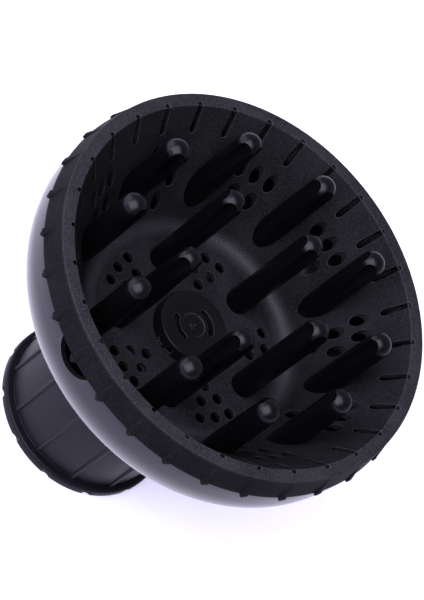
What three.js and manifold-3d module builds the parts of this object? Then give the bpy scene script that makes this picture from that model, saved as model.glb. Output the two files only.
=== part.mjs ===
// A universal-fit hair dryer diffuser, in millimetres.
// It stands on the rear face of its twist collar with the bowl facing up: +Z is the way the air blows,
// and the origin is the centre of the rear face, on the axis.
import * as THREE from "three";
import { mergeVertices } from "three/addons/utils/BufferGeometryUtils.js";
import { ConvexGeometry } from "three/addons/geometries/ConvexGeometry.js";
import Module from "manifold-3d";

const wasm = await Module();
wasm.setup();

// ---- Driving dimensions ----

const GAP = 0.3; // clearance between neighbouring pieces
const WALL = 2; // moulded wall of the bowl and the shell
const RIM_ROUND = 60; // facets of the grille
const SHELL_ROUND = 48; // facets of the shell
const NECK_ROUND = 36; // facets of the collar and the neck

const RIM_RADIUS = 80;
const RIM_Z = 122.5;
const RIM_WIDTH = 5;
const RIM_THICKNESS = 2.6;
const BAND_HEIGHT = 11.5;
const BAND_FLARE = 1.6;

const BOWL_DEPTH = 43.6;
const BOWL_SLOPE = 0.664; // how far the wall closes in for each millimetre of depth
const FLOOR_FILLET = 7;

const SLOT_COUNT = 30;
const HOLE_RADIUS = 2.35;

const OUTER_PRONGS = { count: 10, ring: 55.9, phase: 18 };
const INNER_PRONGS = { count: 5, ring: 30.5, phase: 0 };
const PRONG_RADIUS = 5.2;
const PRONG_TIP_Z = 134.9;
const SPIGOT_RADIUS = 2;

const COLLAR_RADIUS = 33.9;
const FLANGE_RADIUS = 36.7;
const FLANGE_HEIGHT = 4.8;
const RIB_COUNT = 12;
const RIB_PHASE = -3.4;
const SHELL_BACK_Z = 63;

const NECK_BORE = 29.8;
const NECK_RADIUS = 31.4;
const ENTRY_RADIUS = 25.8; // the widest nozzle that passes the rear opening

const JAW_COUNT = 6;
const JAW_PIVOT_RING = 30.2;
const JAW_DRIVE_RING = 30.4;
const JAW_DRIVE_ANGLE = 20; // from the jaw's pivot to its drive pin, with the clamp open
const JAW_TIP_ANGLE = 51;
const JAW_TURN = 14; // how far each jaw swings in
const COLLAR_TURN = 42; // the collar's turn for the same stroke
const PIN_RADIUS = 1;

const LUG_COUNT = 4;
const LUG_ANGLE = 16;
const LEDGE_ANGLE = 20;

// ---- Small helpers ----

const radians = THREE.MathUtils.degToRad;
const range = (count) => [...Array(count).keys()];

function polar(radius, degrees) {
  return new THREE.Vector2(radius * Math.cos(radians(degrees)), radius * Math.sin(radians(degrees)));
}

// Turns a closed geometry into a solid that can be joined and cut.
function solid(geometry) {
  const bare = geometry.clone();
  bare.deleteAttribute("normal");
  bare.deleteAttribute("uv");
  const merged = mergeVertices(bare, 1e-4);
  const index = merged.index.array;
  const triangles = [];
  for (let i = 0; i < index.length; i += 3) {
    const [a, b, c] = [index[i], index[i + 1], index[i + 2]];
    if (a !== b && b !== c && c !== a) triangles.push(a, b, c);
  }
  return new wasm.Manifold(
    new wasm.Mesh({
      numProp: 3,
      vertProperties: new Float32Array(merged.attributes.position.array),
      triVerts: new Uint32Array(triangles),
    }),
  );
}

function geometryOf(body) {
  const mesh = body.getMesh();
  const geometry = new THREE.BufferGeometry();
  geometry.setAttribute("position", new THREE.BufferAttribute(mesh.vertProperties, 3));
  geometry.setIndex(new THREE.BufferAttribute(mesh.triVerts, 1));
  return geometry;
}

const join = (bodies) => bodies.reduce((whole, body) => whole.add(body));
const cut = (body, cutters) => cutters.reduce((rest, cutter) => rest.subtract(cutter), body);

// A body turned about Z from a profile of [radius, z] points, which closes on itself or on the axis.
// Its first facet faces +X, so what repeats around the axis sits mid-facet.
function turned(profile, facets) {
  const onAxis = profile[0][0] < 1e-9;
  const loop = onAxis ? profile : [...profile, profile[0]];
  const area = loop.reduce((sum, [r, z], i) => {
    const [nextR, nextZ] = loop[(i + 1) % loop.length];
    return sum + r * nextZ - nextR * z;
  }, 0);
  const points = loop.map(([r, z]) => new THREE.Vector2(r, z));
  if (area < 0) points.reverse();
  const start = Math.PI / facets;
  const lathe = new THREE.LatheGeometry(points, facets, start).rotateX(Math.PI / 2);
  return solid(lathe);
}

// Points of an arc in a profile, from one angle to another about [radius, z].
function arc([r, z], [radiusR, radiusZ], from, to, steps) {
  return range(steps + 1).map((i) => {
    const angle = radians(from + ((to - from) * i) / steps);
    return [r + radiusR * Math.cos(angle), z + radiusZ * Math.sin(angle)];
  });
}

// A flat outline raised from z0 to z1.
function raised(outline, z0, z1) {
  const shape = new THREE.Shape(outline);
  const geometry = new THREE.ExtrudeGeometry(shape, { depth: z1 - z0, bevelEnabled: false });
  return solid(geometry.translate(0, 0, z0));
}

function rod({ x, y }, radius, z0, z1, sides) {
  const geometry = new THREE.CylinderGeometry(radius, radius, z1 - z0, sides).rotateX(Math.PI / 2);
  return solid(geometry.translate(x, y, (z0 + z1) / 2));
}

// A block between two radii and two angles.
function sector(inner, outer, from, to, z0, z1) {
  const steps = Math.max(1, Math.round((to - from) / 8));
  const side = (radius) =>
    range(steps + 1).map((i) => polar(radius, from + ((to - from) * i) / steps));
  return raised([...side(outer), ...side(inner).reverse()], z0, z1);
}

function placed(body, degrees) {
  return body.rotate([0, 0, degrees]);
}

const around = (body, count, phase = 0) =>
  range(count).map((i) => placed(body, phase + (360 / count) * i));

// ---- Materials ----

const finish = (color, roughness, metalness = 0) =>
  new THREE.MeshStandardMaterial({ color, roughness, metalness });

const materials = {
  grille: finish(0x2a2a2f, 0.72),
  prong: finish(0x17171c, 0.32),
  cap: finish(0x1d1d21, 0.45),
  shell: finish(0x0d0d12, 0.12),
  collar: finish(0x23242d, 0.6),
  neck: finish(0x1b1b1f, 0.55),
  clamp: finish(0x202024, 0.5),
  rubber: finish(0x101012, 0.9),
  steel: finish(0xb4b6ba, 0.3, 1),
};

const diffuser = new THREE.Group();

function addPiece(name, body, material) {
  const mesh = new THREE.Mesh(geometryOf(body), material);
  mesh.name = name;
  diffuser.add(mesh);
}

// ---- Front grille: rim, band, bowl and bayonet skirt in one moulding ----

const FLOOR_Z = RIM_Z - BOWL_DEPTH;
const bowlRadius = (z) => RIM_RADIUS - RIM_WIDTH - BOWL_SLOPE * (RIM_Z - z);
const bowlZ = (radius) => RIM_Z - (RIM_RADIUS - RIM_WIDTH - radius) / BOWL_SLOPE;
const WALL_TILT = Math.atan(1 / BOWL_SLOPE); // the wall's slope above the floor
const WALL_ACROSS = WALL / Math.sin(WALL_TILT); // its thickness measured level

const SKIRT_OUTER = 76.7;
const SKIRT_INNER = 75.2;
const SKIRT_END_Z = 105;
const LUG_RADIUS = 78.2;
const CAP_HOLE = 13.3;

// The bowl's surface, set outwards from the inside face by an offset, from the floor up to the wall.
function bowlCurve(offset) {
  const tangent = FLOOR_FILLET * Math.tan(WALL_TILT / 2);
  const centre = [bowlRadius(FLOOR_Z) - tangent, FLOOR_Z + FLOOR_FILLET];
  const size = FLOOR_FILLET + offset;
  return arc(centre, [size, size], -90, -90 + THREE.MathUtils.radToDeg(WALL_TILT), 2);
}

function grilleBody() {
  const bandInner = RIM_RADIUS - WALL;
  const rimUnder = RIM_Z - RIM_THICKNESS;
  const profile = [
    [CAP_HOLE, FLOOR_Z],
    ...bowlCurve(0),
    [RIM_RADIUS - RIM_WIDTH, RIM_Z],
    [RIM_RADIUS, RIM_Z],
    [RIM_RADIUS + BAND_FLARE, RIM_Z - BAND_HEIGHT],
    [bandInner + BAND_FLARE, RIM_Z - BAND_HEIGHT],
    [bandInner, rimUnder],
    [SKIRT_OUTER, rimUnder],
    [SKIRT_OUTER, SKIRT_END_Z],
    [SKIRT_INNER, SKIRT_END_Z],
    [SKIRT_INNER, bowlZ(SKIRT_INNER - WALL_ACROSS)],
    ...bowlCurve(WALL).reverse(),
    [CAP_HOLE, FLOOR_Z - WALL],
  ];
  return turned(profile, RIM_ROUND);
}

// A radial air slot: wider at its lower end, and run out as a shallow notch in the rim face.
function airSlot() {
  const [inner, through, outer] = [68.3, 74, 76.5];
  const [wide, narrow] = [1.45, 1.05];
  const notchDepth = 1.5;
  const trapezoid = (from, to, fromHalf, toHalf) => [
    new THREE.Vector2(from, -fromHalf),
    new THREE.Vector2(to, -toHalf),
    new THREE.Vector2(to, toHalf),
    new THREE.Vector2(from, fromHalf),
  ];
  const opening = trapezoid(inner, through, wide, narrow);
  const notch = trapezoid(through - 1, outer, narrow, narrow / 2);
  return join([
    raised(opening, RIM_Z - 20, RIM_Z + 1),
    raised(notch, RIM_Z - notchDepth, RIM_Z + 1),
  ]);
}

// Six holes in a triangle of three, two and one, each given as [ring radius, angle to the middle line].
function holeTriangle(rows, top) {
  const low = FLOOR_Z - 3 * WALL;
  return join(
    rows.flatMap(([ring, ...angles]) =>
      angles.map((angle) => rod(polar(ring, angle), HOLE_RADIUS, low, top, 6)),
    ),
  );
}

const floorHoles = () =>
  holeTriangle([[36, -11.2, 0, 11.2], [29, -7.8, 7.8], [22.8, 0]], FLOOR_Z + 1);

const wallHoles = () =>
  holeTriangle([[63.4, -6.2, 0, 6.2], [57.5, -3.9, 3.9], [51.7, 0]], RIM_Z);

// A wedge on the band for the fingers: a point at the front, growing towards the shell.
function gripRamp() {
  const [front, back] = [RIM_Z - 2, RIM_Z - BAND_HEIGHT];
  const [root, crest, halfAngle] = [RIM_RADIUS - 0.8, RIM_RADIUS + BAND_FLARE + 0.7, 1.6];
  const corner = (radius, angle, z) => new THREE.Vector3(...polar(radius, angle).toArray(), z);
  return solid(
    new ConvexGeometry([
      corner(root, 0, front),
      corner(RIM_RADIUS + 0.3, 0, front),
      corner(root, -halfAngle, back),
      corner(root, halfAngle, back),
      corner(crest, -halfAngle, back),
      corner(crest, halfAngle, back),
    ]),
  );
}

const lugPhase = 45;

function frontGrille() {
  const half = LUG_ANGLE / 2;
  const lug = sector(SKIRT_OUTER - 1, LUG_RADIUS, -half, half, SKIRT_END_Z, SKIRT_END_Z + 2);
  const slotPhase = 180 / SLOT_COUNT;
  const whole = join([
    grilleBody(),
    ...around(lug, LUG_COUNT, lugPhase),
    ...around(gripRamp(), SLOT_COUNT, slotPhase),
  ]);
  const sockets = [OUTER_PRONGS, INNER_PRONGS].flatMap(({ count, ring, phase }) =>
    around(rod(polar(ring, 0), SPIGOT_RADIUS + GAP, FLOOR_Z - 10, RIM_Z - 10, 6), count, phase),
  );
  return cut(whole, [
    ...around(airSlot(), SLOT_COUNT, slotPhase),
    ...around(wallHoles(), OUTER_PRONGS.count),
    ...around(floorHoles(), INNER_PRONGS.count, 180 / INNER_PRONGS.count),
    ...sockets,
  ]);
}

addPiece("front_grille", frontGrille(), materials.grille);

// ---- Prongs: round-tipped fingers, each plugged into the bowl by a spigot ----

// Everything below the bowl's inside face, with the assembly gap on top.
function belowBowl() {
  const radius = RIM_RADIUS - RIM_WIDTH - 2;
  return turned(
    [[0, FLOOR_Z + GAP], ...bowlCurve(-GAP), [radius, bowlZ(radius) + GAP], [radius, 40], [0, 40]],
    RIM_ROUND,
  );
}

const underBowl = belowBowl();

function prong(ring, degrees) {
  const [sides, spigotSides] = [10, 6];
  const onWall = ring > bowlRadius(FLOOR_Z);
  const seat = onWall ? bowlZ(ring) : FLOOR_Z;
  const spigotEnd = seat - (onWall ? 8 : 4);
  const dome = arc([0, PRONG_TIP_Z - PRONG_RADIUS], [PRONG_RADIUS, PRONG_RADIUS], 90, 0, 3);
  const stem = turned([...dome, [PRONG_RADIUS, FLOOR_Z - 5], [0, FLOOR_Z - 5]], sides);
  const spigot = rod(new THREE.Vector2(), SPIGOT_RADIUS, spigotEnd, seat + 10, spigotSides);
  const centre = polar(ring, degrees);
  return [stem, spigot]
    .map((body) => body.translate([centre.x, centre.y, 0]))
    .reduce((stemBody, spigotBody) => stemBody.subtract(underBowl).add(spigotBody));
}

function addProngs(name, { count, ring, phase }) {
  range(count).forEach((i) => {
    addPiece(`${name}_${i + 1}`, prong(ring, phase + (360 / count) * i), materials.prong);
  });
}

addProngs("outer_prong", OUTER_PRONGS);
addProngs("inner_prong", INNER_PRONGS);

// ---- Centre cap: a raised vent that snaps into the hole in the bowl's floor ----

function centreCap() {
  const top = FLOOR_Z + 5.9;
  const [rim, seat, plug, bore] = [14.6, 14.9, 12.9, 11.6];
  const bead = plug + 1;
  const under = FLOOR_Z - WALL - GAP;
  const body = turned(
    [
      [0, top],
      [rim - 0.6, top],
      [rim, top - 0.6],
      [seat, FLOOR_Z + GAP],
      [plug, FLOOR_Z + GAP],
      [plug, under],
      [bead, under - 0.3],
      [bead, under - 0.9],
      [plug, under - 2],
      [bore, under - 2],
      [bore, top - WALL],
      [0, top - WALL],
    ],
    24,
  );
  const arcSlot = sector(6.4, 9, -43, 43, top - WALL - 1, top + 1);
  const window = (angle) =>
    sector(bore - 1, seat + 1, angle - 6, angle + 6, FLOOR_Z + 0.9, top - WALL - 0.7);
  const windowPair = window(-9).add(window(9));
  return cut(body, [...around(arcSlot, 2, 90), ...around(windowPair, 4, 21)]);
}

addPiece("centre_cap", centreCap(), materials.cap);

// ---- Outer shell: the glossy back of the diffuser, with the bayonet's ledges inside its mouth ----

const SHELL_MOUTH_Z = RIM_Z - BAND_HEIGHT - GAP;
const SHOULDER = { r: 50, z: 100, across: 29.7, down: 24, end: 56.6 };
const SHELL_FLANGE_TOP = SHELL_BACK_Z + 3;
const AIR_WAY_RADIUS = 22.5;
const SCREW_RING = 27.4;
const SCREW_COUNT = 4;
const SCREW_RADIUS = 1.25;
const BOSS_LOW_Z = 50; // the nozzle stops here

function shellBody() {
  const { r, z, across, down, end } = SHOULDER;
  const outside = arc([r, z], [across, down], 0, -end, 5);
  const inside = arc([r, z], [across - WALL, down - WALL], 0, -end, 3).reverse();
  return turned(
    [
      [81.3, SHELL_MOUTH_Z],
      [80.8, z + 4.5],
      ...outside,
      [35.5, SHELL_BACK_Z + 0.6],
      [34.9, SHELL_BACK_Z],
      [AIR_WAY_RADIUS, SHELL_BACK_Z],
      [AIR_WAY_RADIUS, SHELL_FLANGE_TOP],
      [35.9, SHELL_FLANGE_TOP],
      ...inside,
      [78.8, z + 4.5],
      [79.1, SHELL_MOUTH_Z],
    ],
    SHELL_ROUND,
  );
}

// A crescent bitten out of the mouth, where a fingertip gets behind the grille's band.
function fingerNotch() {
  const [radius, centreAbove, length] = [9.8, 3.3, 10];
  const disc = new THREE.CylinderGeometry(radius, radius, length, 16).rotateZ(Math.PI / 2);
  return solid(disc.translate(RIM_RADIUS, 0, SHELL_MOUTH_Z + centreAbove));
}

function outerShell() {
  const ledgeInner = SKIRT_OUTER + GAP + 0.1;
  const lugTop = SKIRT_END_Z + 2;
  const half = LEDGE_ANGLE / 2;
  const ledge = sector(ledgeInner, 80, -half, half, lugTop + GAP, lugTop + 2.2);
  const stopStart = -LUG_ANGLE / 2 - 0.3;
  const stop = sector(ledgeInner, 80, stopStart - 3, stopStart, SKIRT_END_Z, lugTop + 1);
  const screwCentre = polar(SCREW_RING, 0);
  const screwHole = rod(screwCentre, SCREW_RADIUS + GAP, SHELL_BACK_Z - 1, SHELL_FLANGE_TOP + 1, 8);
  const whole = join([shellBody(), ...around(ledge.add(stop), LUG_COUNT, lugPhase)]);
  return cut(whole, [
    ...around(screwHole, SCREW_COUNT, lugPhase),
    ...around(fingerNotch(), 2, 102),
  ]);
}

addPiece("outer_shell", outerShell(), materials.shell);

// ---- Neck tube: carries the clamp inside the collar, and is screwed to the shell ----

const SHELF_Z = 16.3; // front face of the ring that the jaws hang on
const SHELF_THICKNESS = 2.5;
const NECK_END_Z = SHELL_BACK_Z - GAP;
const SHELF_BORE = 26.6;
const SHELF_RADIUS = 32.1;

function neckTube() {
  const shelfBack = SHELF_Z - SHELF_THICKNESS;
  const body = turned(
    [
      [SHELF_BORE, shelfBack],
      [SHELF_RADIUS, shelfBack],
      [SHELF_RADIUS, SHELF_Z],
      [NECK_RADIUS, SHELF_Z],
      [NECK_RADIUS, NECK_END_Z],
      [NECK_BORE, NECK_END_Z],
      [NECK_BORE, SHELF_Z],
      [SHELF_BORE, SHELF_Z],
    ],
    NECK_ROUND,
  );
  const boss = rod(polar(SCREW_RING, 0), 3.3, BOSS_LOW_Z, NECK_END_Z, 8);
  const pilot = rod(polar(SCREW_RING, 0), SCREW_RADIUS + GAP, BOSS_LOW_Z + 4, NECK_END_Z + 1, 8);
  const pinHole = rod(polar(JAW_PIVOT_RING, 0), PIN_RADIUS + GAP, shelfBack - 1, SHELF_Z + 1, 8);
  const whole = join([body, ...around(boss, SCREW_COUNT, lugPhase)]);
  return cut(whole, [...around(pilot, SCREW_COUNT, lugPhase), ...around(pinHole, JAW_COUNT)]);
}

addPiece("neck_tube", neckTube(), materials.neck);

function shellScrew() {
  const headBase = SHELL_FLANGE_TOP + GAP;
  return turned(
    [
      [0, headBase + 1.7],
      [1.8, headBase + 1.7],
      [2.6, headBase + 0.8],
      [2.6, headBase],
      [SCREW_RADIUS, headBase],
      [SCREW_RADIUS, BOSS_LOW_Z + 5.5],
      [0, BOSS_LOW_Z + 4.7],
    ],
    8,
  ).translate([SCREW_RING, 0, 0]);
}

around(shellScrew(), SCREW_COUNT, lugPhase).forEach((body, i) => {
  addPiece(`shell_screw_${i + 1}`, body, materials.steel);
});

const COLLAR_END_Z = 61.2;

addPiece(
  "friction_washer",
  turned(
    [
      [32, COLLAR_END_Z + GAP],
      [33.6, COLLAR_END_Z + GAP],
      [33.6, SHELL_BACK_Z - GAP],
      [32, SHELL_BACK_Z - GAP],
    ],
    NECK_ROUND,
  ),
  materials.rubber,
);

// ---- Twist collar: the ribbed sleeve that the hand turns ----

const CAM_SEAT_RADIUS = 34.3;
const CAM_SEAT_Z = 2.8;
const KEY_COUNT = 3;
const KEY_ANGLE = 4;

function twistCollar() {
  const body = turned(
    [
      [CAM_SEAT_RADIUS, 0],
      [FLANGE_RADIUS - 0.9, 0],
      [FLANGE_RADIUS, 1.2],
      [FLANGE_RADIUS, 3],
      [FLANGE_RADIUS - 1, 4.3],
      [COLLAR_RADIUS, FLANGE_HEIGHT],
      [COLLAR_RADIUS, COLLAR_END_Z - 0.8],
      [COLLAR_RADIUS - 0.8, COLLAR_END_Z],
      [NECK_RADIUS + 0.4, COLLAR_END_Z],
      [NECK_RADIUS + 0.4, SHELF_Z + GAP],
      [SHELF_RADIUS + 0.4, SHELF_Z + GAP],
      [SHELF_RADIUS + 0.4, CAM_SEAT_Z],
      [CAM_SEAT_RADIUS, CAM_SEAT_Z],
    ],
    NECK_ROUND,
  );
  const rib = rod(polar(COLLAR_RADIUS, 0), 1.3, FLANGE_HEIGHT - 1, COLLAR_END_Z - 1.2, 6);
  const [keyInner, keyOuter] = [CAM_SEAT_RADIUS - 0.9, CAM_SEAT_RADIUS + 0.6];
  const key = sector(keyInner, keyOuter, -KEY_ANGLE, KEY_ANGLE, 0.6, CAM_SEAT_Z + 0.5);
  const scallop = rod(polar(FLANGE_RADIUS + 0.9, 0), 2.4, -1, 2.6, 6);
  const whole = join([body, ...around(rib, RIB_COUNT, RIB_PHASE), ...around(key, KEY_COUNT)]);
  return cut(whole, around(scallop, RIB_COUNT, RIB_PHASE + 180 / RIB_COUNT));
}

addPiece("twist_collar", twistCollar(), materials.collar);

// ---- Cam ring: closes the collar's rear face and steers the jaws ----

const CAM_FRONT_Z = 5.2;
const CAM_FLOOR_Z = 2.5;

// Where a jaw's drive pin is when the collar has turned, seen from the fixed neck.
function drivePin(collarTurn) {
  const pivot = polar(JAW_PIVOT_RING, 0);
  const turn = radians((collarTurn * JAW_TURN) / COLLAR_TURN);
  return polar(JAW_DRIVE_RING, JAW_DRIVE_ANGLE).rotateAround(pivot, turn);
}

// The groove in the cam ring: the path of the drive pin seen from the turning collar.
function camGroove() {
  const [halfWidth, steps] = [PIN_RADIUS + 0.28, 5];
  const origin = new THREE.Vector2();
  const path = range(steps + 1).map((i) => {
    const turn = (COLLAR_TURN * i) / steps;
    return drivePin(turn).rotateAround(origin, radians(-turn));
  });
  const heading = (i) => {
    const [before, after] = [path[Math.max(i - 1, 0)], path[Math.min(i + 1, steps)]];
    return after.clone().sub(before).normalize();
  };
  const side = (i, sign) => {
    const along = heading(i);
    const across = new THREE.Vector2(-along.y, along.x).multiplyScalar(sign * halfWidth);
    return path[i].clone().add(across);
  };
  const cap = (i, sign) => {
    const along = heading(i).multiplyScalar(sign * (halfWidth + 0.1));
    return [1, -1].map((edge) => {
      const across = new THREE.Vector2(-along.y, along.x).multiplyScalar(sign * edge * 0.45);
      return path[i].clone().add(along).add(across);
    });
  };
  const indices = range(steps + 1);
  const outline = [
    ...indices.map((i) => side(i, 1)),
    ...cap(steps, 1),
    ...indices.map((i) => side(steps - i, -1)),
    ...cap(0, -1).reverse(),
  ];
  return raised(outline, CAM_FLOOR_Z, CAM_FRONT_Z + 1);
}

function camRing() {
  const body = turned(
    [
      [ENTRY_RADIUS, 0.6],
      [ENTRY_RADIUS + 0.6, 0],
      [CAM_SEAT_RADIUS - GAP, 0],
      [CAM_SEAT_RADIUS - GAP, CAM_SEAT_Z - GAP],
      [SHELF_RADIUS, CAM_SEAT_Z - GAP],
      [SHELF_RADIUS, CAM_FRONT_Z],
      [ENTRY_RADIUS, CAM_FRONT_Z],
    ],
    NECK_ROUND,
  );
  const half = KEY_ANGLE + 0.6;
  const keyway = sector(CAM_SEAT_RADIUS - 1.2, CAM_SEAT_RADIUS + 1, -half, half, 0.3, 4);
  return cut(body, [...around(keyway, KEY_COUNT), ...around(camGroove(), JAW_COUNT)]);
}

addPiece("cam_ring", camRing(), materials.clamp);

// ---- Clamp jaws: curved arms that swing in on pins to grip the dryer's nozzle ----

const JAW_BACK_Z = CAM_FRONT_Z + GAP;
const JAW_FRONT_Z = SHELF_Z - SHELF_THICKNESS - GAP;
const JAW_INNER = 27.6;
const JAW_OUTER = 30.6;

function clampJaw() {
  const arm = sector(JAW_INNER, JAW_OUTER, 1, JAW_TIP_ANGLE - 2.4, JAW_BACK_Z, JAW_FRONT_Z);
  const tipCentre = polar((JAW_INNER + JAW_OUTER) / 2, JAW_TIP_ANGLE - 2.7);
  const tip = rod(tipCentre, (JAW_OUTER - JAW_INNER) / 2, JAW_BACK_Z, JAW_FRONT_Z, 6);
  const heel = rod(polar(JAW_PIVOT_RING, 0), 1.9, JAW_BACK_Z, JAW_FRONT_Z, 8);
  const driveCentre = polar(JAW_DRIVE_RING, JAW_DRIVE_ANGLE);
  const drive = rod(driveCentre, PIN_RADIUS, CAM_FLOOR_Z + GAP, JAW_BACK_Z + 1, 8);
  const holeRadius = PIN_RADIUS + GAP;
  const pinHole = rod(polar(JAW_PIVOT_RING, 0), holeRadius, JAW_BACK_Z - 1, JAW_FRONT_Z + 1, 8);
  return join([arm, tip, heel, drive]).subtract(pinHole);
}

function jawPad() {
  const [from, to] = [30, JAW_TIP_ANGLE - 3];
  return sector(JAW_INNER - GAP - 1, JAW_INNER - GAP, from, to, JAW_BACK_Z + 0.5, JAW_FRONT_Z - 0.5);
}

const pivotPin = () =>
  rod(polar(JAW_PIVOT_RING, 0), PIN_RADIUS, JAW_BACK_Z + GAP, SHELF_Z - GAP, 8);

function addRing(name, body, material) {
  around(body, JAW_COUNT).forEach((copy, i) => addPiece(`${name}_${i + 1}`, copy, material));
}

addRing("clamp_jaw", clampJaw(), materials.clamp);
addRing("jaw_pad", jawPad(), materials.rubber);
addRing("jaw_pin", pivotPin(), materials.steel);

export default diffuser;
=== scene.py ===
import math

import bmesh
import bpy
from mathutils import Matrix, Vector


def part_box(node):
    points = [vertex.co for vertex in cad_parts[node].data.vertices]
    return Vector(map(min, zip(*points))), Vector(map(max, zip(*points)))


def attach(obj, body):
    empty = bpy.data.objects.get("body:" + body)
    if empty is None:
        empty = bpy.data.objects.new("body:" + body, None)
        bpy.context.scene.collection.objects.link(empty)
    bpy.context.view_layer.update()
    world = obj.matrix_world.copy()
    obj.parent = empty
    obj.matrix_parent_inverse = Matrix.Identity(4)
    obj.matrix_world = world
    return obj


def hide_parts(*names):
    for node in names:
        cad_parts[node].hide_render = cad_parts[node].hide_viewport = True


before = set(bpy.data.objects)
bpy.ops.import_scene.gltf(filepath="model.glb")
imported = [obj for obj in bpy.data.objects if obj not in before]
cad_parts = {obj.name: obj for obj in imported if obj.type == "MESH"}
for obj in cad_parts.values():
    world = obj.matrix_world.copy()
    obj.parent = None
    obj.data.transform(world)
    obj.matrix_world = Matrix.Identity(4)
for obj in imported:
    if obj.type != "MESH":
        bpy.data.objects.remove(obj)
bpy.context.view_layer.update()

# The looks of a hair dryer diffuser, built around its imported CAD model.
# Sizes are in millimetres until a mesh is made, and +Z is the way the air blows.

MM = 0.001

# ---- Sizes, taken from the frame where a CAD node gives them ----

RIM_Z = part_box("front_grille")[1].z / MM
RIM_RADIUS = 80
RIM_WIDTH = 5
BAND_HEIGHT = 11.5
BAND_FLARE = 1.6
WALL = 2

BOWL_DEPTH = 43.6
BOWL_SLOPE = 0.664  # how far the wall closes in for each millimetre of depth
FLOOR_Z = RIM_Z - BOWL_DEPTH
FLOOR_FILLET = 7
WALL_TILT = math.atan(1 / BOWL_SLOPE)  # the wall's slope above the floor
WALL_LEVEL = WALL / math.sin(WALL_TILT)  # the wall's thickness measured level

SLOTS = 30
SLOT_PHASE = 6
HOLE_RADIUS = 2.35
OUTER_RING, OUTER_PRONGS, OUTER_PHASE = 55.9, 10, 18
INNER_RING, INNER_PRONGS, INNER_PHASE = 30.5, 5, 0
PRONG_RADIUS = 5.2
PRONG_TIP_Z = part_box("outer_prong_1")[1].z / MM

COLLAR_RADIUS = 33.9
FLANGE_RADIUS = 36.7
RIBS = 12
RIB_PHASE = -3.4
KEYS = 3  # keys of the collar in the cam ring
COLLAR_TOP_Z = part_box("twist_collar")[1].z / MM
SHELL_BACK_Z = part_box("outer_shell")[0].z / MM
SHELL_MOUTH_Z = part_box("outer_shell")[1].z / MM
CAM_TOP_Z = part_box("cam_ring")[1].z / MM
CAM_FLANGE_Z = 2.5
NECK_LOW_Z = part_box("neck_tube")[0].z / MM
NECK_TOP_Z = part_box("neck_tube")[1].z / MM
SHELF_Z = NECK_LOW_Z + 2.5
JAW_LOW_Z = CAM_TOP_Z + 0.3
JAW_TOP_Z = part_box("clamp_jaw_1")[1].z / MM
JAWS = 6
JAW_STEP = 360 / JAWS
PIVOT_RING = 30.2
DRIVE_RING, DRIVE_BEARING = 30.4, 20
COLLAR_TURN = 42  # degrees from open to closed
JAW_RATIO = 3  # the collar turns this much more than the jaws
SCREWS = 4
SCREW_RING = 27.4
SCREW_PHASE = 45
CATCHES = 4  # lugs of the grille and ledges of the shell
CATCH_PHASE = 45
FINE = 240  # segments of the large turned surfaces
MEDIUM = 144  # segments of the smaller ones


# ---- Mesh helpers ----

def polar(radius, degrees, z=0.0):
    """A point at a distance and a bearing from the axis."""
    angle = math.radians(degrees)
    return (radius * math.cos(angle), radius * math.sin(angle), z)


def turn(degrees):
    """A turn about the axis."""
    return Matrix.Rotation(math.radians(degrees), 4, "Z")


def loft(rings, around=False, open_rings=False):
    """Vertices and faces of a skin over rings of points. It closes on itself, or gets two end caps."""
    count = len(rings[0])
    vertices = [point for ring in rings for point in ring]
    faces = []
    for i in range(len(rings) if around else len(rings) - 1):
        here, there = i * count, ((i + 1) % len(rings)) * count
        for j in range(count - 1 if open_rings else count):
            k = (j + 1) % count
            faces.append((here + j, here + k, there + k, there + j))
    if not around:
        last = (len(rings) - 1) * count
        faces.append(tuple(range(count))[::-1])
        faces.append(tuple(last + j for j in range(count)))
    return vertices, faces


def piece_from(name, parts):
    """One object from several skins, each of them closed."""
    mesh = bmesh.new()
    for vertices, faces in parts:
        made = [mesh.verts.new(Vector(v) * MM) for v in vertices]
        for face in faces:
            mesh.faces.new([made[i] for i in face])
    bmesh.ops.remove_doubles(mesh, verts=mesh.verts, dist=1e-7)
    bmesh.ops.dissolve_degenerate(mesh, dist=1e-8, edges=mesh.edges)
    bmesh.ops.recalc_face_normals(mesh, faces=mesh.faces)
    data = bpy.data.meshes.new(name)
    mesh.to_mesh(data)
    mesh.free()
    piece = bpy.data.objects.new(name, data)
    bpy.context.scene.collection.objects.link(piece)
    return piece


def repeat(parts, count, phase=0.0):
    """The same skins again and again around the axis."""
    copies = []
    for i in range(count):
        spin = turn(phase + 360 / count * i)
        copies += [([spin @ Vector(v) for v in vertices], faces) for vertices, faces in parts]
    return copies


def rounded(corners, steps=4):
    """A closed profile of (radius, z) points, from corners of (radius, z, rounding)."""
    points = []
    for i, (x, y, rounding) in enumerate(corners):
        corner = Vector((x, y))
        if rounding == 0:
            points.append((x, y))
            continue
        before = (Vector(corners[i - 1][:2]) - corner).normalized()
        after = (Vector(corners[(i + 1) % len(corners)][:2]) - corner).normalized()
        half = before.angle(after) / 2
        reach = rounding / math.tan(half)
        centre = corner + (before + after).normalized() * rounding / math.sin(half)
        start, end = corner + before * reach - centre, corner + after * reach - centre
        sweep = start.angle_signed(end)
        for step in range(steps + 1):
            arm = start.copy()
            arm.rotate(Matrix.Rotation(-sweep * step / steps, 2))
            points.append(tuple(centre + arm))
    return points


def divided(profile, longest):
    """A closed profile with points added so that no side is longer than this."""
    points = []
    for i, (r, z) in enumerate(profile):
        next_r, next_z = profile[(i + 1) % len(profile)]
        parts = max(1, math.ceil(math.hypot(next_r - r, next_z - z) / longest))
        points += [(r + (next_r - r) * k / parts, z + (next_z - z) * k / parts) for k in range(parts)]
    return points


def turned(profile, segments=FINE):
    """The skin of a ring turned about the axis, or of a disc whose profile starts and ends on it."""
    rings = [[polar(r, 360 * i / segments, z) for r, z in profile] for i in range(segments)]
    return loft(rings, around=True, open_rings=profile[0][0] == 0)


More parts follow.
